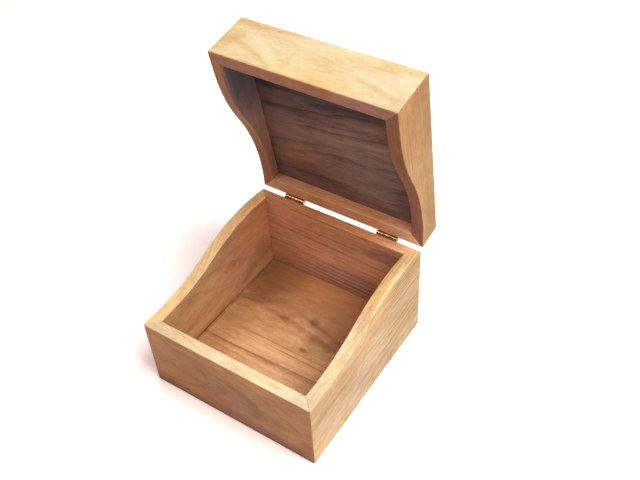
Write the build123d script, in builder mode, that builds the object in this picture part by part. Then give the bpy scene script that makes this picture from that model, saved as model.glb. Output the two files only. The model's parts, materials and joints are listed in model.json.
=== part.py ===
# Small square wooden keepsake box. Four mitred walls and two grooved-in panels are
# glued up as one closed case, which is then sawn apart along an S-curve: the base is
# low in front and high at the back, and the lid is its complement. Two small brass
# butt hinges on the back faces carry the lid, which stands open as in use.
#
# The case is modelled closed, with its middle at X = Y = 0 and the table at Z = 0.
# The lid's pieces are swung open about the hinge pins as they are written out, and
# all pieces move forward together, so that the origin is the middle of the footprint.
from build123d import *
from math import asin, atan, cos, degrees, radians, sin, sqrt, tan
import os

os.makedirs("parts", exist_ok=True)

# Case, outside sizes with the lid shut
case_width = 120.0
case_depth = 125.0
case_height = 85.0
wall_thickness = 8.0
corner_radius = 1.2
outer_edge_radius = 0.9
rim_outer_radius = 0.8
rim_inner_radius = 0.5

# S-curve of the saw cut, seen from the side
rim_front_height = 52.0
rim_crest_height = 68.5
rim_flat_length = 14.0
rim_crest_from_back = 22.0
rim_gap = 0.3

# Panels: a thick field inside the walls and a thin tongue in their grooves
floor_underside = 5.5
floor_thickness = 6.0
lid_panel_thickness = 10.0
tongue_thickness = 3.0
tongue_length = 3.0
tongue_play = 0.2
tongue_end_gap = 0.4
field_gap = 0.3
field_edge_radius = 0.5

# Hinges
hinge_centre_from_end = 25.0
hinge_length = 14.5
leaf_reach = 7.5
leaf_thickness = 0.8
leaf_corner_radius = 1.0
pin_radius = 0.75
pin_end_stand = 0.1
pin_end_radius = 0.2
pin_clearance = 0.05
knuckle_gap = 0.2
notch_gap = 0.35

# Hinge screws
screw_spacing = 8.6
screw_from_pin = 4.8
screw_shank_radius = 0.8
screw_head_radius = 1.45
screw_head_angle = 90.0
screw_dome_height = 0.3
screw_length = 6.0
screw_tip_length = 1.5
screw_tip_radius = 0.2
screw_slot_width = 0.4
screw_slot_depth = 0.35
screw_clearance = 0.04

# Lid's angle from shut, as it stands open
lid_open_angle = 81.0

# Room that cutting tools take past the wood
overcut = 5.0

# How far from a height edges still count as lying at it
level_margin = 0.5

# Inside sizes
inner_width = case_width - 2 * wall_thickness
inner_depth = case_depth - 2 * wall_thickness
front_face = -case_depth / 2
back_face = case_depth / 2

# The saw cut runs straight back from the front face, then rises through two equal
# arcs, one hollow and one crowned, that meet in line halfway up.
bend_start = front_face + rim_flat_length
crest_place = back_face - rim_crest_from_back
bend_length = crest_place - bend_start
bend_rise = rim_crest_height - rim_front_height
bend_angle = 2 * atan(bend_rise / bend_length)
bend_radius = bend_length / (2 * sin(bend_angle))

# Grooves
groove_height = tongue_thickness + tongue_play
groove_depth = tongue_length + tongue_end_gap
lid_panel_underside = case_height - lid_panel_thickness

# Hinge barrel: it lies against the back face, centred on the saw cut's height there
barrel_radius = pin_radius + pin_clearance + leaf_thickness
rim_back_height = rim_crest_height - bend_radius + sqrt(bend_radius**2 - rim_crest_from_back**2)
pin_place = back_face + barrel_radius
pin_height = rim_back_height + rim_gap / 2
knuckle_length = (hinge_length - 2 * knuckle_gap) / 3
knuckle_pitch = knuckle_length + knuckle_gap
hinge_places = {
    "left": hinge_centre_from_end - case_width / 2,
    "right": case_width / 2 - hinge_centre_from_end,
}

# A screw's head narrows to its shank at the countersink's angle
screw_head_height = (screw_head_radius - screw_shank_radius) / tan(radians(screw_head_angle / 2))

# The open lid reaches behind the base by its rounded top back edge
lid_lean = radians(lid_open_angle)
lid_back_reach = (
    pin_place
    + (case_height - outer_edge_radius - pin_height) * sin(lid_lean)
    + (back_face - outer_edge_radius - pin_place) * cos(lid_lean)
    + outer_edge_radius
)
forward_shift = (lid_back_reach + front_face) / 2
hinge_axis = Axis((0, pin_place, pin_height), (-1, 0, 0))

# Walls, named with the corners that each one runs between
sides = {
    "front": ((-1, -1), (1, -1)),
    "right": ((1, -1), (1, 1)),
    "back": ((1, 1), (-1, 1)),
    "left": ((-1, 1), (-1, -1)),
}


def write_piece(part, name, opened):
    """Puts a finished piece where it stands at rest, names it and writes it."""
    if opened:
        part = part.rotate(hinge_axis, lid_open_angle)
    placed = part.moved(Location((0, -forward_shift, 0)))
    placed.label = name
    export_step(placed, f"parts/{name}.step")


def draw_saw_cut(lift, closing_height):
    """Draws the region on one side of the saw cut, from front to back in the YZ plane."""
    front_end = front_face - overcut
    back_end = back_face + overcut
    crown_centre = rim_crest_height + lift - bend_radius
    fall_angle = degrees(asin((back_end - crest_place) / bend_radius))
    with BuildLine() as outline:
        flat = Line(
            (front_end, rim_front_height + lift),
            (bend_start, rim_front_height + lift),
        )
        CenterArc(
            (bend_start, rim_front_height + lift + bend_radius),
            bend_radius,
            -90,
            degrees(bend_angle),
        )
        crown = CenterArc(
            (crest_place, crown_centre),
            bend_radius,
            90 + degrees(bend_angle),
            -degrees(bend_angle) - fall_angle,
        )
        Polyline(crown @ 1, (back_end, closing_height), (front_end, closing_height), flat @ 0)
    return outline


def near_outside(edge):
    """True for an edge that lies on the case's outer faces."""
    middle = edge.center()
    reach = wall_thickness / 4
    return abs(middle.X) > case_width / 2 - reach or abs(middle.Y) > case_depth / 2 - reach


def near_inside(edge):
    """True for an edge that lies on the walls' inner faces."""
    middle = edge.center()
    reach = wall_thickness / 4
    within_width = abs(middle.X) < inner_width / 2 + reach
    within_depth = abs(middle.Y) < inner_depth / 2 + reach
    return within_width and within_depth


def level_edges(ring, lowest, highest):
    """Edges of a ring between two heights, without the upright ones."""
    edges = ring.edges().filter_by(Axis.Z, reverse=True)
    lowest_counted = lowest - level_margin
    highest_counted = highest + level_margin
    return edges.filter_by(lambda edge: lowest_counted < edge.center().Z < highest_counted)


def corner_point(corner, inward):
    """A point on the mitre line through a corner of the case, so far in from it."""
    return (
        corner[0] * (case_width / 2 - inward),
        corner[1] * (case_depth / 2 - inward),
    )


def saw_ring(lift, closing_height, groove_underside, screw_height):
    """The four walls of the base or the lid as one ring, grooved and drilled."""
    with BuildPart() as ring:
        with BuildSketch():
            RectangleRounded(case_width, case_depth, corner_radius)
            Rectangle(inner_width, inner_depth, mode=Mode.SUBTRACT)
        extrude(amount=case_height)
        with BuildSketch(Plane.YZ):
            add(draw_saw_cut(lift, closing_height).line)
            make_face()
        extrude(amount=case_width, both=True, mode=Mode.INTERSECT)

        rim_lowest = rim_front_height + lift
        rim_highest = rim_crest_height + lift
        fillet(level_edges(ring, rim_lowest, rim_highest).filter_by(near_outside), rim_outer_radius)
        fillet(level_edges(ring, rim_lowest, rim_highest).filter_by(near_inside), rim_inner_radius)
        end_level = min(max(closing_height, 0), case_height)
        end_edges = level_edges(ring, end_level, end_level)
        fillet(end_edges.filter_by(near_outside), outer_edge_radius)

        with BuildSketch(Plane.XY.offset(groove_underside)):
            Rectangle(inner_width + 2 * groove_depth, inner_depth + 2 * groove_depth)
        extrude(amount=groove_height, mode=Mode.SUBTRACT)

        with BuildSketch(Plane.XZ.offset(-back_face)):
            for hinge_place in hinge_places.values():
                with Locations((hinge_place, screw_height)):
                    with GridLocations(screw_spacing, 0, 2, 1):
                        Circle(screw_shank_radius + screw_clearance)
        extrude(amount=screw_length, mode=Mode.SUBTRACT)
    return ring


def cut_wall(ring, corners):
    """One board of a ring, between the mitres at its two corners."""
    start, end = corners
    board_depth = wall_thickness + overcut
    with BuildPart() as board:
        add(ring.part)
        with BuildSketch():
            with BuildLine():
                Polyline(
                    corner_point(start, -overcut),
                    corner_point(end, -overcut),
                    corner_point(end, board_depth),
                    corner_point(start, board_depth),
                    close=True,
                )
            make_face()
        extrude(amount=case_height, mode=Mode.INTERSECT)
    return board


def make_panel(underside, thickness):
    """A panel whose field stands inside the walls and whose tongue fills their grooves."""
    with BuildPart() as panel:
        with BuildSketch(Plane.XY.offset(underside)):
            Rectangle(inner_width + 2 * tongue_length, inner_depth + 2 * tongue_length)
        extrude(amount=tongue_thickness)
        with BuildSketch(Plane.XY.offset(underside)):
            Rectangle(inner_width - 2 * field_gap, inner_depth - 2 * field_gap)
        extrude(amount=thickness)
        fillet(panel.faces().sort_by(Axis.Z)[-1].edges(), field_edge_radius)
    return panel


def make_leaf(hinge_place, up, own_knuckles, other_knuckles):
    """A hinge leaf on the back face: a plate, its rolled knuckles and two screw holes."""
    back_plane = Plane((hinge_place, back_face, pin_height), x_dir=(-1, 0, 0), z_dir=(0, 1, 0))
    with BuildPart() as leaf:
        with BuildSketch(back_plane) as plate:
            with Locations((0, up * leaf_reach / 2)):
                Rectangle(hinge_length, leaf_reach)
            far_corners = plate.vertices().group_by(Axis.Z)[-1 if up > 0 else 0]
            fillet(far_corners, leaf_corner_radius)
        extrude(amount=leaf_thickness)
        with BuildSketch(back_plane):
            with Locations(*[(place * knuckle_pitch, 0) for place in other_knuckles]):
                Rectangle(knuckle_length + 2 * knuckle_gap, 2 * (barrel_radius + notch_gap))
        extrude(amount=leaf_thickness, mode=Mode.SUBTRACT)
        for place in own_knuckles:
            knuckle_start = hinge_place + place * knuckle_pitch - knuckle_length / 2
            with BuildSketch(Plane.YZ.offset(knuckle_start)):
                with Locations((pin_place, pin_height)):
                    Circle(barrel_radius)
            extrude(amount=knuckle_length)
        with BuildSketch(Plane.YZ.offset(hinge_place - hinge_length / 2)):
            with Locations((pin_place, pin_height)):
                Circle(pin_radius + pin_clearance)
        extrude(amount=hinge_length, mode=Mode.SUBTRACT)
        with Locations(back_plane.offset(leaf_thickness)):
            with Locations((0, up * screw_from_pin)):
                with GridLocations(screw_spacing, 0, 2, 1):
                    CounterSinkHole(
                        screw_shank_radius + screw_clearance,
                        screw_head_radius + screw_clearance,
                        leaf_thickness,
                        screw_head_angle,
                    )
    return leaf


def make_screws(hinge_place, up):
    """The two slotted screws of a leaf, as two solids in one piece."""
    head_plane = Plane(
        (hinge_place, back_face + leaf_thickness, pin_height + up * screw_from_pin),
        x_dir=(-1, 0, 0),
        z_dir=(0, 1, 0),
    )
    with BuildPart() as screw:
        with BuildSketch(Plane.XZ):
            with BuildLine():
                dome = TangentArc((0, screw_dome_height), (screw_head_radius, 0), tangent=(1, 0))
                Polyline(
                    dome @ 1,
                    (screw_shank_radius, -screw_head_height),
                    (screw_shank_radius, screw_tip_length - screw_length),
                    (screw_tip_radius, -screw_length),
                    (0, -screw_length),
                    dome @ 0,
                )
            make_face()
        revolve(axis=Axis.Z)
        with BuildSketch(Plane.XY.offset(screw_dome_height - screw_slot_depth)):
            Rectangle(2 * screw_head_radius, screw_slot_width)
        extrude(amount=screw_slot_depth, mode=Mode.SUBTRACT)
    with BuildPart() as screws:
        with Locations(head_plane):
            with GridLocations(screw_spacing, 0, 2, 1):
                add(screw.part)
    return screws


def make_pin(hinge_place):
    """The hinge pin, its two eased ends just proud of the knuckles."""
    pin_length = hinge_length + 2 * pin_end_stand
    with BuildPart() as pin:
        with BuildSketch(Plane.YZ.offset(hinge_place - pin_length / 2)):
            with Locations((pin_place, pin_height)):
                Circle(pin_radius)
        extrude(amount=pin_length)
        fillet(pin.edges().filter_by(GeomType.CIRCLE), pin_end_radius)
    return pin


# Walls of the base and of the lid
base_ring = saw_ring(0, -overcut, floor_underside, pin_height - screw_from_pin)
lid_ring = saw_ring(
    rim_gap,
    case_height + overcut,
    lid_panel_underside,
    pin_height + screw_from_pin,
)
for side, corners in sides.items():
    write_piece(cut_wall(base_ring, corners).part, f"base_{side}_wall", opened=False)
    write_piece(cut_wall(lid_ring, corners).part, f"lid_{side}_wall", opened=True)

# Panels
floor_panel = make_panel(floor_underside, floor_thickness)
write_piece(floor_panel.part, "base_floor_panel", opened=False)
top_panel = make_panel(lid_panel_underside, lid_panel_thickness)
write_piece(top_panel.part, "lid_top_panel", opened=True)

# Hinges: the base's leaf has the two end knuckles, and the lid's leaf the middle one
end_knuckles = (-1, 1)
middle_knuckle = (0,)
for hinge_side, hinge_place in hinge_places.items():
    name = f"{hinge_side}_hinge"
    base_leaf = make_leaf(hinge_place, -1, end_knuckles, middle_knuckle)
    lid_leaf = make_leaf(hinge_place, 1, middle_knuckle, end_knuckles)
    write_piece(base_leaf.part, f"{name}_base_leaf", opened=False)
    write_piece(lid_leaf.part, f"{name}_lid_leaf", opened=True)
    write_piece(make_pin(hinge_place).part, f"{name}_pin", opened=False)
    write_piece(make_screws(hinge_place, -1).part, f"{name}_base_screws", opened=False)
    write_piece(make_screws(hinge_place, 1).part, f"{name}_lid_screws", opened=True)
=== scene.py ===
# Looks of the small wooden box that stands open: procedural wood on each board and
# panel, brass on the hinges, a pale floor, soft light and the photograph's camera.
#
# Every wooden piece is shaded in the place it had in the closed case, before the case
# was sawn apart, so the figure of a board runs on across the saw cut. Places on the
# case are in millimetres from the middle of its underside, as it stands shut.
import json
from math import radians

import bpy
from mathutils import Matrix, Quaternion, Vector


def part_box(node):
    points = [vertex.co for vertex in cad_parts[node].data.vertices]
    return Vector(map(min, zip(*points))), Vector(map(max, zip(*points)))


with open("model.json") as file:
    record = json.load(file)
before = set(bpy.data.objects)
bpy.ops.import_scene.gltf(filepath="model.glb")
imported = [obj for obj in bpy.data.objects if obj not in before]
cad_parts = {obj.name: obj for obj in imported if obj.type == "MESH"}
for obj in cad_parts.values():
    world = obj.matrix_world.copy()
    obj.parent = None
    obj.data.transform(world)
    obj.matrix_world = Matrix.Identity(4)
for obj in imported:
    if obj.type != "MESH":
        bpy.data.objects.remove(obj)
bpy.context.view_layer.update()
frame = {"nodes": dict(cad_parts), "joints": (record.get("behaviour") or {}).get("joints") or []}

# Camera, solved from the corners of the box in the photograph
camera_place = Vector((0.22418, -0.27711, 0.43219))
camera_target = Vector((-0.00348, 0.03563, 0.06))
camera_roll = radians(-4.06)
camera_lens = 47.39
sensor_width = 36.0

# The case when shut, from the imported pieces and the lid's joint
mm_per_metre = 1000
front_low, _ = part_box("base_front_wall")
back_low, back_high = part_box("base_back_wall")
_, right_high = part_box("base_right_wall")
case_middle = Vector((0, (front_low.y + back_high.y) / 2, 0))
half_width = right_high.x * mm_per_metre
half_depth = (back_high.y - front_low.y) * mm_per_metre / 2
wall_thickness = (back_high.y - back_low.y) * mm_per_metre
lid_hinge = frame["joints"][0]
hinge_place = Vector(lid_hinge["pos_m"])
open_angle = radians(-lid_hinge["range_deg"][0])

# Faces that have stains or painted shade of their own
back_inner_face = half_depth - wall_thickness
left_inner_face = wall_thickness - half_width
lid_top_face = 85.0
lid_panel_thickness = 10.0
lid_panel_inner_face = lid_top_face - lid_panel_thickness


# Node helpers
noise_middle = 0.5


class Graph:
    """Adds nodes to a node tree. A value is an output socket, a number or a tuple."""

    def __init__(self, tree):
        self.tree = tree

    def add(self, kind, inputs=None, **settings):
        node = self.tree.nodes.new(kind)
        for name, value in settings.items():
            setattr(node, name, value)
        for name, value in (inputs or {}).items():
            self.feed(node.inputs[name], value)
        return node

    def feed(self, socket, value):
        if isinstance(value, bpy.types.NodeSocket):
            self.tree.links.new(value, socket)
        else:
            socket.default_value = value

    def math(self, operation, first, second=0.0, third=0.0, clamp=False):
        inputs = {0: first, 1: second, 2: third}
        node = self.add("ShaderNodeMath", inputs, operation=operation, use_clamp=clamp)
        return node.outputs[0]

    def vary(self, base, noise, gain):
        """base plus gain times what the noise differs from its middle value."""
        return self.math("MULTIPLY_ADD", self.math("SUBTRACT", noise, noise_middle), gain, base)

    def vector(self, operation, first, second=(0, 0, 0)):
        node = self.add("ShaderNodeVectorMath", {0: first, 1: second}, operation=operation)
        return node.outputs["Vector"]

    def rotate(self, axis, vector, angle, centre=(0, 0, 0)):
        inputs = {"Vector": vector, "Center": centre, "Angle": angle}
        return self.add("ShaderNodeVectorRotate", inputs, rotation_type=f"{axis}_AXIS").outputs[0]

    def split(self, vector):
        return self.add("ShaderNodeSeparateXYZ", {0: vector}).outputs

    def join(self, x, y, z):
        return self.add("ShaderNodeCombineXYZ", {0: x, 1: y, 2: z}).outputs[0]

    def step(self, value, start, end, low=0.0, high=1.0):
        """Eases from low to high while value goes from start to end."""
        node = self.add(
            "ShaderNodeMapRange",
            {"Value": value, "From Min": start, "From Max": end, "To Min": low, "To Max": high},
            interpolation_type="SMOOTHSTEP",
        )
        return node.outputs["Result"]

    def noise(self, place, scale, detail=2.0, roughness=0.5):
        """Noise from 0 to 1, where scale is its frequency per millimetre on each axis."""
        inputs = {
            "Vector": self.vector("MULTIPLY", place, scale),
            "Scale": 1.0,
            "Detail": detail,
            "Roughness": roughness,
        }
        return self.add("ShaderNodeTexNoise", inputs).outputs["Fac"]

    def grain(self, place, along, across, detail=2.0, roughness=0.5):
        """Noise on a board's own axes, drawn out along the grain."""
        return self.noise(place, (along, across, across), detail, roughness)

    def blend(self, factor, first, second, kind="MIX"):
        """Mixes two colours. They are inputs 6 and 7 of the node, and its output 2."""
        node = self.add("ShaderNodeMix", data_type="RGBA", blend_type=kind, clamp_factor=True)
        for index, value in ((0, factor), (6, first), (7, second)):
            self.feed(node.inputs[index], value)
        return node.outputs[2]

    def tint(self, colour, factor, tint):
        """Multiplies the colour by a tint where factor is 1."""
        return self.blend(factor, colour, (*tint, 1), "MULTIPLY")


def new_material(name):
    """An empty material and the graph to fill it with."""
    material = bpy.data.materials.new(name)
    material.use_nodes = True
    material.node_tree.nodes.clear()
    return material, Graph(material.node_tree)


def dress(node, material):
    """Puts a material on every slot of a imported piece."""
    for slot in frame["nodes"][node].material_slots:
        slot.material = material


# Wood of one board, as a node group. A board's own axes run along it, across its width
# and through it, and all its noises are finer across the grain than along it.
wood_inputs = {
    "Board": "Vector",
    "Pith": "Vector",
    "Tilt": "Vector",
    "Ring": "Float",
    "Uneven": "Float",
    "Even": "Float",
    "Seed": "Vector",
    "Sway": "Float",
    "Lines": "Float",
    "Fibres": "Float",
    "Clouds": "Float",
    "Pale": "Color",
    "Brown": "Color",
}
wood_outputs = {"Color": "Color", "Roughness": "Float", "Height": "Float"}

# The wood's figure, and how strongly each part of it shows
small_sway_share = 0.16
ring_drift_frequency = 0.09
faintest_ring = 0.2
fine_lines_per_ring = 3.37
fine_line_share = 0.3
middle_tone = 0.45
blotch_strength = 0.8
fleck_strength = 0.8
late_wood_deepening = 1.2
fine_fibre_light = 0.32
pore_darkness = 0.4
pore_tint = (0.4, 0.25, 0.18)
warmth_seed = (200, 100, 50)
cool_tint = (0.95, 0.97, 1.04)
warm_tint = (1.04, 0.99, 0.88)
middle_roughness = 0.42
fibre_roughness = 0.25
pore_roughness = 0.2
late_wood_height = 0.02
fine_fibre_height = 0.03
pore_height = -0.06


def add_sockets(tree, direction, sockets):
    for name, kind in sockets.items():
        tree.interface.new_socket(name, in_out=direction, socket_type=f"NodeSocket{kind}")


def pith_distance(graph, given, seeded):
    """Distance from a pith that tilts against the board, swayed a little along it."""
    along, width, depth = graph.split(given["Board"])
    _, pith_width, pith_depth = graph.split(given["Pith"])
    _, tilt_width, tilt_depth = graph.split(given["Tilt"])
    off_width = graph.math("MULTIPLY_ADD", along, tilt_width, graph.math("SUBTRACT", width, pith_width))
    off_depth = graph.math("MULTIPLY_ADD", along, tilt_depth, graph.math("SUBTRACT", depth, pith_depth))
    squares = graph.math("ADD", graph.math("POWER", off_width, 2), graph.math("POWER", off_depth, 2))
    broad_sway = graph.math("SUBTRACT", graph.grain(seeded, 0.011, 0.028), noise_middle)
    small_sway = graph.math("SUBTRACT", graph.grain(seeded, 0.04, 0.16, 3), noise_middle)
    sway = graph.math("MULTIPLY_ADD", small_sway, small_sway_share, broad_sway)
    return graph.math("MULTIPLY_ADD", sway, given["Sway"], graph.math("SQRT", squares))


def ring_turns(graph, given, distance):
    """Counts the growth rings from the pith, with rings of uneven width."""
    drifting = graph.math("MULTIPLY", distance, ring_drift_frequency)
    inputs = {"W": drifting, "Scale": 1.0, "Detail": 1.0}
    drift = graph.add("ShaderNodeTexNoise", inputs, noise_dimensions="1D").outputs["Fac"]
    even_turns = graph.math("DIVIDE", distance, given["Ring"])
    return graph.math("MULTIPLY_ADD", drift, given["Uneven"], even_turns)


def late_wood(graph, given, seeded, turns, phase):
    """The dark part of each ring: a soft darkening that ends in a thin line."""
    inputs = {"W": graph.math("FLOOR", turns)}
    ring = graph.add("ShaderNodeTexWhiteNoise", inputs, noise_dimensions="1D").outputs["Value"]
    ring = graph.math("POWER", ring, 2)
    strength = graph.math("MULTIPLY_ADD", ring, 1.0 - faintest_ring, faintest_ring)
    strength = graph.math("MAXIMUM", strength, given["Even"])
    rise = graph.math("POWER", graph.step(phase, 0.25, 0.93), 2)
    fall = graph.step(phase, 0.95, 1.0, 1.0, 0.0)
    late = graph.math("MULTIPLY", graph.math("MULTIPLY", rise, fall), strength)

    # Finer lines between the rings, and both come and go along the board
    fine_phase = graph.math("FRACT", graph.math("MULTIPLY", turns, fine_lines_per_ring))
    fine_rise = graph.step(fine_phase, 0.5, 0.9)
    fine_fall = graph.step(fine_phase, 0.92, 1.0, 1.0, 0.0)
    fine_line = graph.math("MULTIPLY", fine_rise, fine_fall)
    come = graph.step(graph.grain(seeded, 0.02, 0.2, 2), 0.42, 0.62)
    late = graph.math("MULTIPLY_ADD", graph.math("MULTIPLY", fine_line, come), fine_line_share, late)
    go = graph.step(graph.grain(seeded, 0.016, 0.07, 2), 0.35, 0.6, 0.35, 1.0)
    return graph.math("MULTIPLY", graph.math("MULTIPLY", late, go), given["Lines"], clamp=True)


def wood_colour(graph, given, seeded, late, fibre):
    """Pale and brown mixed by clouds, flecks and fibres, with deeper late wood."""
    mottle = graph.grain(seeded, 0.016, 0.045, 3, 0.55)
    blotch = graph.grain(seeded, 0.07, 0.13, 3, 0.6)
    fleck = graph.grain(seeded, 0.22, 0.5, 2, 0.6)
    tone = graph.math("MULTIPLY", graph.math("SUBTRACT", mottle, noise_middle), given["Clouds"])
    tone = graph.vary(tone, blotch, blotch_strength)
    tone = graph.vary(tone, fleck, fleck_strength)
    tone = graph.vary(tone, fibre, given["Fibres"])
    tone = graph.math("ADD", tone, middle_tone, clamp=True)
    colour = graph.blend(tone, given["Pale"], given["Brown"])
    deeper = graph.math("MULTIPLY_ADD", late, late_wood_deepening, 1.0)
    colour = graph.add("ShaderNodeGamma", {"Color": colour, "Gamma": deeper}).outputs[0]

    # Cooler and warmer regions
    warmth = graph.grain(graph.vector("ADD", seeded, warmth_seed), 0.014, 0.035)
    colour = graph.tint(colour, graph.step(warmth, 0.52, 0.7), cool_tint)
    return graph.tint(colour, graph.step(warmth, 0.48, 0.3), warm_tint)


def make_wood_group():
    """Solid wood of one board: growth rings about a pith, fibres, pores and clouds."""
    tree = bpy.data.node_groups.new("board_wood", "ShaderNodeTree")
    add_sockets(tree, "INPUT", wood_inputs)
    add_sockets(tree, "OUTPUT", wood_outputs)
    graph = Graph(tree)
    given = graph.add("NodeGroupInput").outputs
    seeded = graph.vector("ADD", given["Board"], given["Seed"])

    turns = ring_turns(graph, given, pith_distance(graph, given, seeded))
    phase = graph.math("FRACT", turns)
    late = late_wood(graph, given, seeded, turns, phase)
    fibre = graph.grain(seeded, 0.028, 1.1, 5, 0.62)
    fine_fibre = graph.grain(seeded, 0.09, 5.0, 3, 0.6)
    pore = graph.step(graph.grain(seeded, 0.33, 3.4), 0.61, 0.71)
    pore = graph.math("MULTIPLY", pore, graph.step(phase, 0.0, 0.5, 1.0, 0.3))

    colour = graph.vector("SCALE", wood_colour(graph, given, seeded, late, fibre))
    graph.feed(colour.node.inputs["Scale"], graph.vary(1.0, fine_fibre, fine_fibre_light))
    colour = graph.tint(colour, graph.math("MULTIPLY", pore, pore_darkness), pore_tint)
    rough = graph.vary(middle_roughness, fibre, fibre_roughness)
    rough = graph.math("MULTIPLY_ADD", pore, pore_roughness, rough)
    height = graph.math("MULTIPLY", late, late_wood_height)
    height = graph.math("MULTIPLY_ADD", fine_fibre, fine_fibre_height, height)
    height = graph.math("MULTIPLY_ADD", pore, pore_height, height)

    result = graph.add("NodeGroupOutput").inputs
    for name, value in {"Color": colour, "Roughness": rough, "Height": height}.items():
        graph.feed(result[name], value)
    return tree


# Wood of one piece
wood_group = make_wood_group()
untinted = (1, 1, 1)
# Eased edges: a tint for wear and painted highlight
wear_and_highlight_tint = (1.05, 1.02, 0.97)
rubbed_roughness = -0.06
mitre_half_width = 0.16
mitre_tint = (0.3, 0.2, 0.15)
mitre_darkness = 0.5
wood_relief = 0.5
wood_specular = 0.25


def case_place(graph, on_lid):
    """Place in the shut case, in millimetres, and the direction the surface faces there."""
    coordinates = graph.add("ShaderNodeTexCoord").outputs
    place, facing = coordinates["Object"], coordinates["Normal"]
    if on_lid:
        place = graph.rotate("X", place, open_angle, hinge_place)
        facing = graph.rotate("X", facing, open_angle)
    place = graph.vector("SUBTRACT", place, case_middle)
    place = graph.vector("MULTIPLY", place, (mm_per_metre,) * 3)
    return place, graph.vector("NORMALIZE", facing)


def tint_sides(graph, colour, through, upward, outer, inner):
    """Paints light and shade on the upright faces: the outer tint on the outside half of the board,
    the inner tint on the other. through is the depth from the case's outside."""
    half_wall = wall_thickness / 2
    margin = 1.0
    near_outside = graph.step(through, half_wall + margin, half_wall - margin)
    near_inside = graph.step(through, half_wall - margin, half_wall + margin)
    upright = graph.step(upward, 0.8, 0.45)
    colour = graph.tint(colour, graph.math("MULTIPLY", near_outside, upright), outer)
    return graph.tint(colour, graph.math("MULTIPLY", near_inside, upright), inner)


def stain_or_painted_light(graph, colour, place, at, reach, tint, lean=0.0, soft=0.5):
    """Tints a patch of a board with a ragged edge: a stain, or painted light or shade. at and
    reach run along the board, across it and, where a third value is given, through it."""
    anywhere = 1e6
    ragged = graph.noise(place, (0.05, 0.09, 0.05), 3, 0.6)
    moved = graph.vector("SUBTRACT", place, (*at, 0)[:3])
    turned = graph.rotate("Z", moved, radians(-lean))
    scaled = graph.vector("DIVIDE", turned, (*reach, anywhere)[:3])
    away = graph.add("ShaderNodeVectorMath", {0: scaled}, operation="LENGTH").outputs["Value"]
    inside = graph.step(graph.vary(away, ragged, 1.0), 1.0 + soft, 1.0 - soft)
    return graph.tint(colour, inside, tint)


def wood_material(
    name,
    colours,
    order,
    seed,
    pith,
    ring,
    lines,
    tilt=(0, 0, 0),
    uneven=1.2,
    even=0.0,
    sway=6.0,
    fade=None,
    fibres=0.8,
    clouds=1.6,
    dull=0.0,
    outer=untinted,
    inner=untinted,
    rim=untinted,
    stains_and_painted_light=(),
):
    """Wood for one piece. order names the case's axes along its board, across it and
    through it. fade gives an axis, two places on it and what is left of the lines at the
    first place. outer, inner and rim tint those faces with painted light and shade."""
    material, graph = new_material(name)
    is_wall = name.endswith("wall")
    on_lid = name.startswith("lid")
    place, facing = case_place(graph, on_lid)
    axes = dict(zip("XYZ", graph.split(place)))
    board = graph.join(*[axes[axis] for axis in order])
    if fade:
        axis, start, end, left = fade
        lines = graph.step(axes[axis], start, end, left * lines, lines)

    wood = graph.add("ShaderNodeGroup", node_tree=wood_group)
    pale, brown = colours
    for key, value in {
        "Board": board,
        "Pith": pith,
        "Tilt": tilt,
        "Ring": ring,
        "Uneven": uneven,
        "Even": even,
        "Seed": seed,
        "Sway": sway,
        "Lines": lines,
        "Fibres": fibres,
        "Clouds": clouds,
        "Pale": (*pale, 1),
        "Brown": (*brown, 1),
    }.items():
        graph.feed(wood.inputs[key], value)

    # Painted light and shade: outer faces, inner faces and sawn rims are tinted for how the light falls
    # on them
    in_from_side = graph.math("SUBTRACT", half_width, graph.math("ABSOLUTE", axes["X"]))
    in_from_end = graph.math("SUBTRACT", half_depth, graph.math("ABSOLUTE", axes["Y"]))
    through = graph.math("MINIMUM", in_from_side, in_from_end)
    sideward, endward, upward = [graph.math("ABSOLUTE", part) for part in graph.split(facing)]
    colour = tint_sides(graph, wood.outputs["Color"], through, upward, outer, inner)
    if is_wall:
        to_rim = graph.math("MULTIPLY", graph.split(facing)[2], -1.0 if on_lid else 1.0)
        colour = graph.tint(colour, graph.step(to_rim, 0.45, 0.8), rim)
    # Stains, and patches of painted light and shade
    for patch in stains_and_painted_light:
        colour = stain_or_painted_light(graph, colour, board, **patch)

    # Eased edges are painted paler and made smoother, as wear and as painted highlight, and the mitres
    # show as a thin dark line
    squarest = graph.math("MAXIMUM", graph.math("MAXIMUM", sideward, endward), upward)
    edge = graph.step(squarest, 0.95, 0.76)
    wear_and_highlight = graph.math("MULTIPLY", edge, graph.noise(place, (0.15, 0.15, 0.15), 3, 0.6))
    colour = graph.tint(colour, wear_and_highlight, wear_and_highlight_tint)
    rough = graph.math("ADD", wood.outputs["Roughness"], dull)
    rough = graph.math("MULTIPLY_ADD", wear_and_highlight, rubbed_roughness, rough)
    if is_wall:
        off_mitre = graph.math("ABSOLUTE", graph.math("SUBTRACT", in_from_side, in_from_end))
        seam = graph.step(off_mitre, mitre_half_width, mitre_half_width / 4, 0.0, mitre_darkness)
        colour = graph.tint(colour, seam, mitre_tint)

    relief = {"Height": wood.outputs["Height"], "Strength": wood_relief, "Distance": 0.001}
    looks = {
        "Base Color": colour,
        "Roughness": rough,
        "Normal": graph.add("ShaderNodeBump", relief).outputs[0],
        "Specular IOR Level": wood_specular,
    }
    shader = graph.add("ShaderNodeBsdfPrincipled", looks)
    graph.add("ShaderNodeOutputMaterial", {"Surface": shader.outputs[0]})
    return material


def on_face(depth, reach, *stains_and_painted_light):
    """The stains and patches of painted shade, kept to the face at this depth through the board."""
    return tuple(
        dict(patch, at=(*patch["at"], depth), reach=(*patch["reach"], reach)) for patch in stains_and_painted_light
    )


# Pale and brown tones of the woods, as the photograph's light shows them
wood_colours = ((0.655, 0.476, 0.317), (0.49, 0.316, 0.187))
floor_colours = ((0.648, 0.48, 0.311), (0.485, 0.318, 0.184))
panel_colours = ((0.424, 0.318, 0.275), (0.261, 0.185, 0.16))

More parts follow.
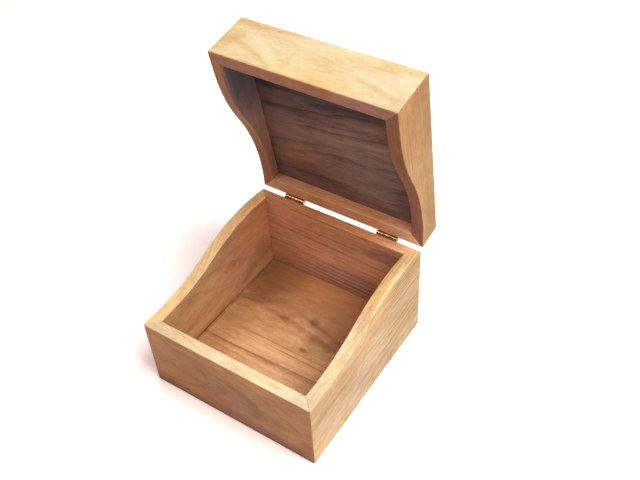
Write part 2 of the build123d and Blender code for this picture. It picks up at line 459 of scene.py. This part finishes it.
# The four boards of the case, each sawn into a base wall and a lid wall
front_board = dict(order="XZY", seed=(11, 3, 7), pith=(0, 22, -104), tilt=(0, 0.1, 0.14), ring=2.6)
back_board = dict(order="XZY", seed=(91, 43, 17), pith=(0, 95, 78), tilt=(0, 0.02, 0.04), ring=3.6)
left_board = dict(order="YZX", seed=(51, 23, 77), pith=(0, 30, -120), tilt=(0, 0.1, 0.05), ring=2.8)
right_board = dict(order="YZX", seed=(31, 63, 37), pith=(0, 4, 112), tilt=(0, 0.04, 0.06), ring=1.8)

# The walls, with painted light and shade on their faces, and the stains, streaks, lines,
# painted shade and painted highlights that the photograph shows on them
walls = {
    "base_front_wall": dict(
        front_board,
        lines=0.16,
        fibres=1.1,
        clouds=2.2,
        outer=(0.81, 0.68, 0.56),
        inner=(0.95, 0.9, 0.85),
        rim=(1.08, 1.35, 1.52),
        stains_and_painted_light=(
            # Painted shade along the bottom edge, where the box stands on the floor
            dict(at=(0, 0), reach=(90, 9), tint=(0.79, 0.77, 0.84)),
            dict(at=(0, 0), reach=(90, 2.4), tint=(0.66, 0.66, 0.75)),
            # On the outer face
            dict(at=(-50, 26), reach=(34, 34), tint=(0.9, 0.86, 0.8)),
            dict(at=(5, 17), reach=(24, 11), tint=(0.97, 0.96, 1.09)),
            dict(at=(46, 36), reach=(32, 24), tint=(1.03, 1.03, 0.98)),
            dict(at=(13, 31), reach=(20, 3), lean=-22, tint=(0.9, 0.89, 0.89)),
            # Along the rim
            dict(at=(-42, 52), reach=(40, 4), tint=(0.98, 0.96, 0.94)),
            dict(at=(36, 52), reach=(40, 4), tint=(1.02, 1.05, 1.11)),
        ),
    ),
    "base_back_wall": dict(
        back_board,
        lines=0.45,
        fibres=1.0,
        inner=(1.34, 1.34, 1.47),
        rim=(1.13, 1.09, 1.07),
        stains_and_painted_light=on_face(
            back_inner_face,
            3,
            # A cool place low down, and a dark one at the right end of the rim
            dict(at=(24, 17), reach=(44, 13), tint=(0.85, 0.94, 1.23)),
            dict(at=(42, 57), reach=(18, 5), lean=8, tint=(0.79, 0.77, 0.92)),
            # Dark grain lines above the floor panel
            *[
                dict(at=(14, height), reach=(42, 0.8), lean=-2, tint=(0.75, 0.7, 0.73))
                for height in (13.5, 17.0, 20.5, 24.2, 28.0)
            ],
        ),
    ),
    "base_left_wall": dict(
        left_board,
        lines=0.35,
        fibres=1.0,
        inner=(1.1, 1.08, 0.98),
        rim=(1.06, 1.22, 1.1),
        stains_and_painted_light=(
            # The board's back half, and the inner edge of the rim's high part
            dict(at=(34, 30), reach=(36, 34), tint=(1.02, 0.96, 1.05)),
            dict(at=(48, 58, left_inner_face), reach=(28, 18, 2), tint=(1.25, 1.18, 1.14)),
        ),
    ),
    "base_right_wall": dict(
        right_board,
        lines=0.6,
        even=0.3,
        fade=("Y", -8, 22, 0.4),
        fibres=1.15,
        clouds=1.9,
        outer=(1.08, 1.15, 1.19),
        rim=(1.09, 1.39, 1.54),
        stains_and_painted_light=(
            # Darker over the rim's high part, a painted highlight along its outer edge, dark lines
            # along it, and a brown place before it
            dict(at=(36, 67, 56), reach=(36, 8, 6), tint=(0.98, 0.93, 0.86)),
            dict(at=(34, 67, 57.4), reach=(28, 8, 1.6), tint=(1.02, 1.02, 1), soft=0.3),
            dict(at=(34, 67, 58.8), reach=(28, 8, 0.8), tint=(1.08, 1.2, 1.38), soft=0.3),
            dict(at=(34, 66, 52.9), reach=(34, 8, 0.9), tint=(0.98, 0.9, 0.75)),
            dict(at=(34, 66, 55.0), reach=(30, 8, 0.3), tint=(0.95, 0.89, 0.77)),
            dict(at=(3, 61, 55.5), reach=(11, 9, 4), tint=(0.92, 0.83, 0.79)),
            # On the outer face and along its upper edge
            dict(at=(52, 44), reach=(34, 28), tint=(0.92, 0.86, 0.79)),
            dict(at=(36, 66, 60), reach=(36, 8, 0.8), tint=(0.95, 0.98, 0.94)),
            dict(at=(6, 34), reach=(18, 8), lean=20, tint=(1.03, 1.06, 1.11)),
            dict(at=(-34, 46), reach=(24, 2.4), lean=-2, tint=(0.94, 0.89, 0.82)),
            dict(at=(-30, 35), reach=(24, 2), lean=3, tint=(0.92, 0.87, 0.8)),
            # Dark grain lines below the rim's high part
            *[
                dict(at=(40, height, 60), reach=(26, 0.7, 3), lean=-1.5, tint=(0.84, 0.77, 0.7))
                for height in (49.0, 52.5, 55.5, 58.2, 60.8, 63.4)
            ],
        ),
    ),
    "lid_front_wall": dict(
        front_board,
        lines=0.06,
        fibres=0.3,
        clouds=1.0,
        outer=(0.92, 1.14, 1.15),
        rim=(0.75, 0.67, 0.82),
        stains_and_painted_light=(
            # On the left third
            dict(at=(-36, 69), reach=(22, 3.5), lean=-28, tint=(1.05, 1.09, 1.16)),
            dict(at=(-38, 62.5), reach=(16, 2), lean=-22, tint=(0.94, 0.89, 0.77)),
            dict(at=(-57, 70), reach=(9, 12), tint=(0.96, 0.92, 0.8)),
            dict(at=(-42, 83.5), reach=(28, 3.5), lean=3, tint=(0.92, 0.84, 0.72)),
            # In the middle and along the rim
            dict(at=(8, 69), reach=(10, 9), tint=(0.98, 0.96, 0.89)),
            dict(at=(-26, 52.6), reach=(44, 0.9), tint=(0.92, 0.82, 0.68)),
            # On the right third
            dict(at=(46, 70), reach=(20, 9), lean=10, tint=(1.03, 1.06, 1.16)),
            dict(at=(40, 63), reach=(14, 1.8), lean=-14, tint=(0.95, 0.9, 0.8)),
            dict(at=(46, 79.5), reach=(16, 2.2), lean=12, tint=(0.95, 0.9, 0.8)),
        ),
    ),
    "lid_back_wall": dict(back_board, lines=0.2, inner=(1.35, 1.41, 1.49), rim=(1.36, 1.36, 1.5)),
    "lid_left_wall": dict(
        left_board,
        lines=0.2,
        inner=(0.93, 1.0, 1.3),
        rim=(0.69, 0.52, 0.48),
        stains_and_painted_light=(
            # Painted shade makes the inner face dark and cool in front; it is paler at the back
            dict(at=(-46, 68, left_inner_face), reach=(30, 20, 2), tint=(0.57, 0.66, 0.8)),
            dict(at=(34, 68, left_inner_face), reach=(30, 20, 2), tint=(1.22, 1.14, 1.05)),
        ),
    ),
    "lid_right_wall": dict(
        right_board,
        lines=0.12,
        fibres=0.8,
        outer=(0.84, 0.75, 0.58),
        rim=(0.6, 0.49, 0.53),
        stains_and_painted_light=(
            # The rim's high part, and the front of the outer face
            dict(at=(34, 67, 55.5), reach=(34, 8, 4), tint=(1.15, 1.13, 1.28)),
            dict(at=(-43, 70), reach=(26, 22), tint=(0.98, 0.93, 0.83)),
        ),
    ),
}
for name, wall in walls.items():
    dress(name, wood_material(name, wood_colours, **wall))

floor_panel = dict(
    order="XYZ",
    seed=(5, 71, 13),
    pith=(0, -238.3, 0),
    ring=5.0,
    uneven=0.9,
    even=0.3,
    sway=8.0,
    lines=0.36,
    fade=("Y", -4, -11, 0.15),
    fibres=0.75,
    clouds=1.3,
    stains_and_painted_light=(
        # The lid's painted shadow over the back, broad darker regions across the middle and at the
        # left, one pale place
        dict(at=(10, 45), reach=(85, 38), lean=-8, tint=(0.73, 0.65, 0.6), soft=0.2),
        dict(at=(0, -1), reach=(62, 9), tint=(0.88, 0.87, 0.8)),
        dict(at=(-14, 41), reach=(12, 14), tint=(1.08, 1.05, 1.01), soft=0.6),
        dict(at=(-50, 38), reach=(30, 34), tint=(0.85, 0.8, 0.75)),
        dict(at=(-58, -16), reach=(26, 36), tint=(0.87, 0.79, 0.75)),
        # Grain lines across the middle and the front
        dict(at=(4, 9.5), reach=(38, 2.4), lean=-9, tint=(0.84, 0.75, 0.73)),
        dict(at=(14, -8.2), reach=(44, 0.5), tint=(0.82, 0.75, 0.7)),
        dict(at=(24, -11.6), reach=(34, 0.6), tint=(0.79, 0.7, 0.65)),
        dict(at=(10, -21.6), reach=(44, 0.8), lean=1.5, tint=(0.72, 0.61, 0.56)),
        dict(at=(18, 15), reach=(26, 1.4), lean=-14, tint=(0.87, 0.8, 0.79)),
        # Two small knots and a paler place at the back
        dict(at=(6, 19), reach=(3.5, 3), tint=(0.79, 0.72, 0.75)),
        dict(at=(13, -4), reach=(3, 1.5), tint=(0.66, 0.59, 0.59)),
        dict(at=(22, 36), reach=(20, 14), tint=(1.03, 1.04, 1.08)),
        # The dark joint along the left wall
        dict(at=(-51.7, 0), reach=(0.4, 90), tint=(0.62, 0.57, 0.57)),
        dict(at=(-50.3, 0), reach=(0.3, 90), tint=(0.77, 0.7, 0.68)),
    ),
)
lid_panel = dict(
    order="XYZ",
    seed=(15, 31, 63),
    pith=(0, 62, 30),
    tilt=(0, 0.16, 0.0),
    ring=6.0,
    sway=16.0,
    lines=0.35,
    fibres=1.2,
    clouds=2.2,
    dull=0.2,
    stains_and_painted_light=on_face(
        lid_panel_inner_face,
        5,
        # A warm place near the left hinge, and a darker left side
        dict(at=(-31, 27), reach=(17, 11), lean=-25, tint=(1.27, 1.13, 0.92)),
        dict(at=(-50, 4), reach=(42, 60), tint=(0.89, 0.82, 0.84)),
        # Painted shade, dark and cool, towards the lid's front wall and its left end
        dict(at=(0, -34), reach=(90, 28), tint=(0.78, 0.74, 0.76)),
        dict(at=(0, -38), reach=(80, 17), tint=(0.61, 0.65, 0.79), soft=0.3),
        dict(at=(-44, -22), reach=(24, 30), tint=(0.94, 0.94, 0.94)),
        dict(at=(-36, -46), reach=(40, 17), tint=(0.76, 0.8, 0.88)),
        # Pale and dark bands across the middle
        dict(at=(10, -15), reach=(26, 6), lean=-6, tint=(1.13, 1.09, 1.02)),
        dict(at=(-5, -11), reach=(60, 2.6), lean=-2, tint=(0.79, 0.79, 0.9)),
        dict(at=(-20, -3), reach=(34, 2), lean=-4, tint=(1.11, 1.08, 1.04)),
        # At the right, near the hinges
        dict(at=(46, 34), reach=(9, 14), tint=(0.75, 0.75, 0.84)),
        dict(at=(24, 26), reach=(22, 20), tint=(1, 1.06, 1.12)),
    )
    + on_face(lid_top_face, 5, dict(at=(0, 0), reach=(200, 200), tint=(1.33, 1.15, 0.88))),
)
dress("base_floor_panel", wood_material("base_floor_panel", floor_colours, **floor_panel))
dress("lid_top_panel", wood_material("lid_top_panel", panel_colours, **lid_panel))


# Brass
bright_brass = (0.66, 0.54, 0.35, 1)
dull_brass = (0.41, 0.32, 0.19, 1)


def brass_material():
    """Plated brass, a little dulled, with fine scratches and darker cloudy patches."""
    material, graph = new_material("brass")
    coordinates = graph.add("ShaderNodeTexCoord").outputs
    place = graph.vector("MULTIPLY", coordinates["Object"], (mm_per_metre,) * 3)
    cloud = graph.noise(place, (0.5, 0.5, 0.5), 4, 0.6)
    scratch = graph.noise(place, (0.4, 7.0, 7.0), 3, 0.6)
    relief = {"Height": scratch, "Strength": 0.15, "Distance": 0.0001}
    looks = {
        "Base Color": graph.blend(graph.step(cloud, 0.35, 0.7), bright_brass, dull_brass),
        "Roughness": graph.math("MULTIPLY_ADD", cloud, 0.25, 0.22),
        "Normal": graph.add("ShaderNodeBump", relief).outputs[0],
        "Metallic": 1.0,
    }
    shader = graph.add("ShaderNodeBsdfPrincipled", looks)
    graph.add("ShaderNodeOutputMaterial", {"Surface": shader.outputs[0]})
    return material


brass = brass_material()
for node in frame["nodes"]:
    if "hinge" in node:
        dress(node, brass)


# Floor and sky
floor_half_width = 4.0
floor_colour = (0.96, 0.99, 0.97, 1)
floor_roughness = 0.9
sky_colour = (1.0, 1.0, 1.0, 1)
sky_strength = 0.2


def make_floor():
    """A wide pale floor that the box stands on."""
    half = floor_half_width
    corners = [(-half, -half, 0), (half, -half, 0), (half, half, 0), (-half, half, 0)]
    mesh = bpy.data.meshes.new("floor")
    mesh.from_pydata(corners, [], [(0, 1, 2, 3)])
    floor = bpy.data.objects.new("floor", mesh)
    bpy.context.scene.collection.objects.link(floor)
    material = bpy.data.materials.new("floor")
    material.use_nodes = True
    shader = material.node_tree.nodes["Principled BSDF"]
    shader.inputs["Base Color"].default_value = floor_colour
    shader.inputs["Roughness"].default_value = floor_roughness
    mesh.materials.append(material)


def make_sky():
    world = bpy.data.worlds.new("world")
    world.use_nodes = True
    background = world.node_tree.nodes["Background"]
    background.inputs["Color"].default_value = sky_colour
    background.inputs["Strength"].default_value = sky_strength
    bpy.context.scene.world = world


# Soft lights, with their places in metres and their powers in watts
light_size = 0.7
lit_point = Vector((0, 0, 0.06))
lights = {
    "key": dict(place=(0.6, 0.0, 1.1), power=16.2, colour=(0.96, 0.99, 1.0)),
    "front_right": dict(place=(0.6, -0.6, 0.91), power=2.4, colour=(1.0, 0.75, 0.8)),
    "front_left": dict(place=(-0.5, -0.45, 1.0), power=5.2, colour=(1.0, 0.68, 0.62)),
    "back_left": dict(place=(-0.545, 0.545, 0.98), power=3.3, colour=(1.0, 0.93, 1.0)),
}


def make_light(name, place, power, colour):
    """A square soft light that faces the box."""
    data = bpy.data.lights.new(name, "AREA")
    data.size = light_size
    data.energy = power
    data.color = colour
    light = bpy.data.objects.new(name, data)
    light.location = place
    light.rotation_euler = (lit_point - Vector(place)).to_track_quat("-Z", "Y").to_euler()
    bpy.context.scene.collection.objects.link(light)


# Camera and view
nearest_seen = 0.01
view_gamma = 0.7


def make_camera():
    data = bpy.data.cameras.new("camera")
    data.lens = camera_lens
    data.sensor_width = sensor_width
    data.clip_start = nearest_seen
    camera = bpy.data.objects.new("camera", data)
    camera.location = camera_place
    aim = (camera_target - camera_place).to_track_quat("-Z", "Y")
    camera.rotation_mode = "QUATERNION"
    camera.rotation_quaternion = aim @ Quaternion((0, 0, 1), camera_roll)
    bpy.context.scene.collection.objects.link(camera)
    bpy.context.scene.camera = camera


make_floor()
for name, light in lights.items():
    make_light(name, **light)
make_camera()
make_sky()
bpy.context.scene.view_settings.view_transform = "Standard"
bpy.context.scene.view_settings.gamma = view_gamma
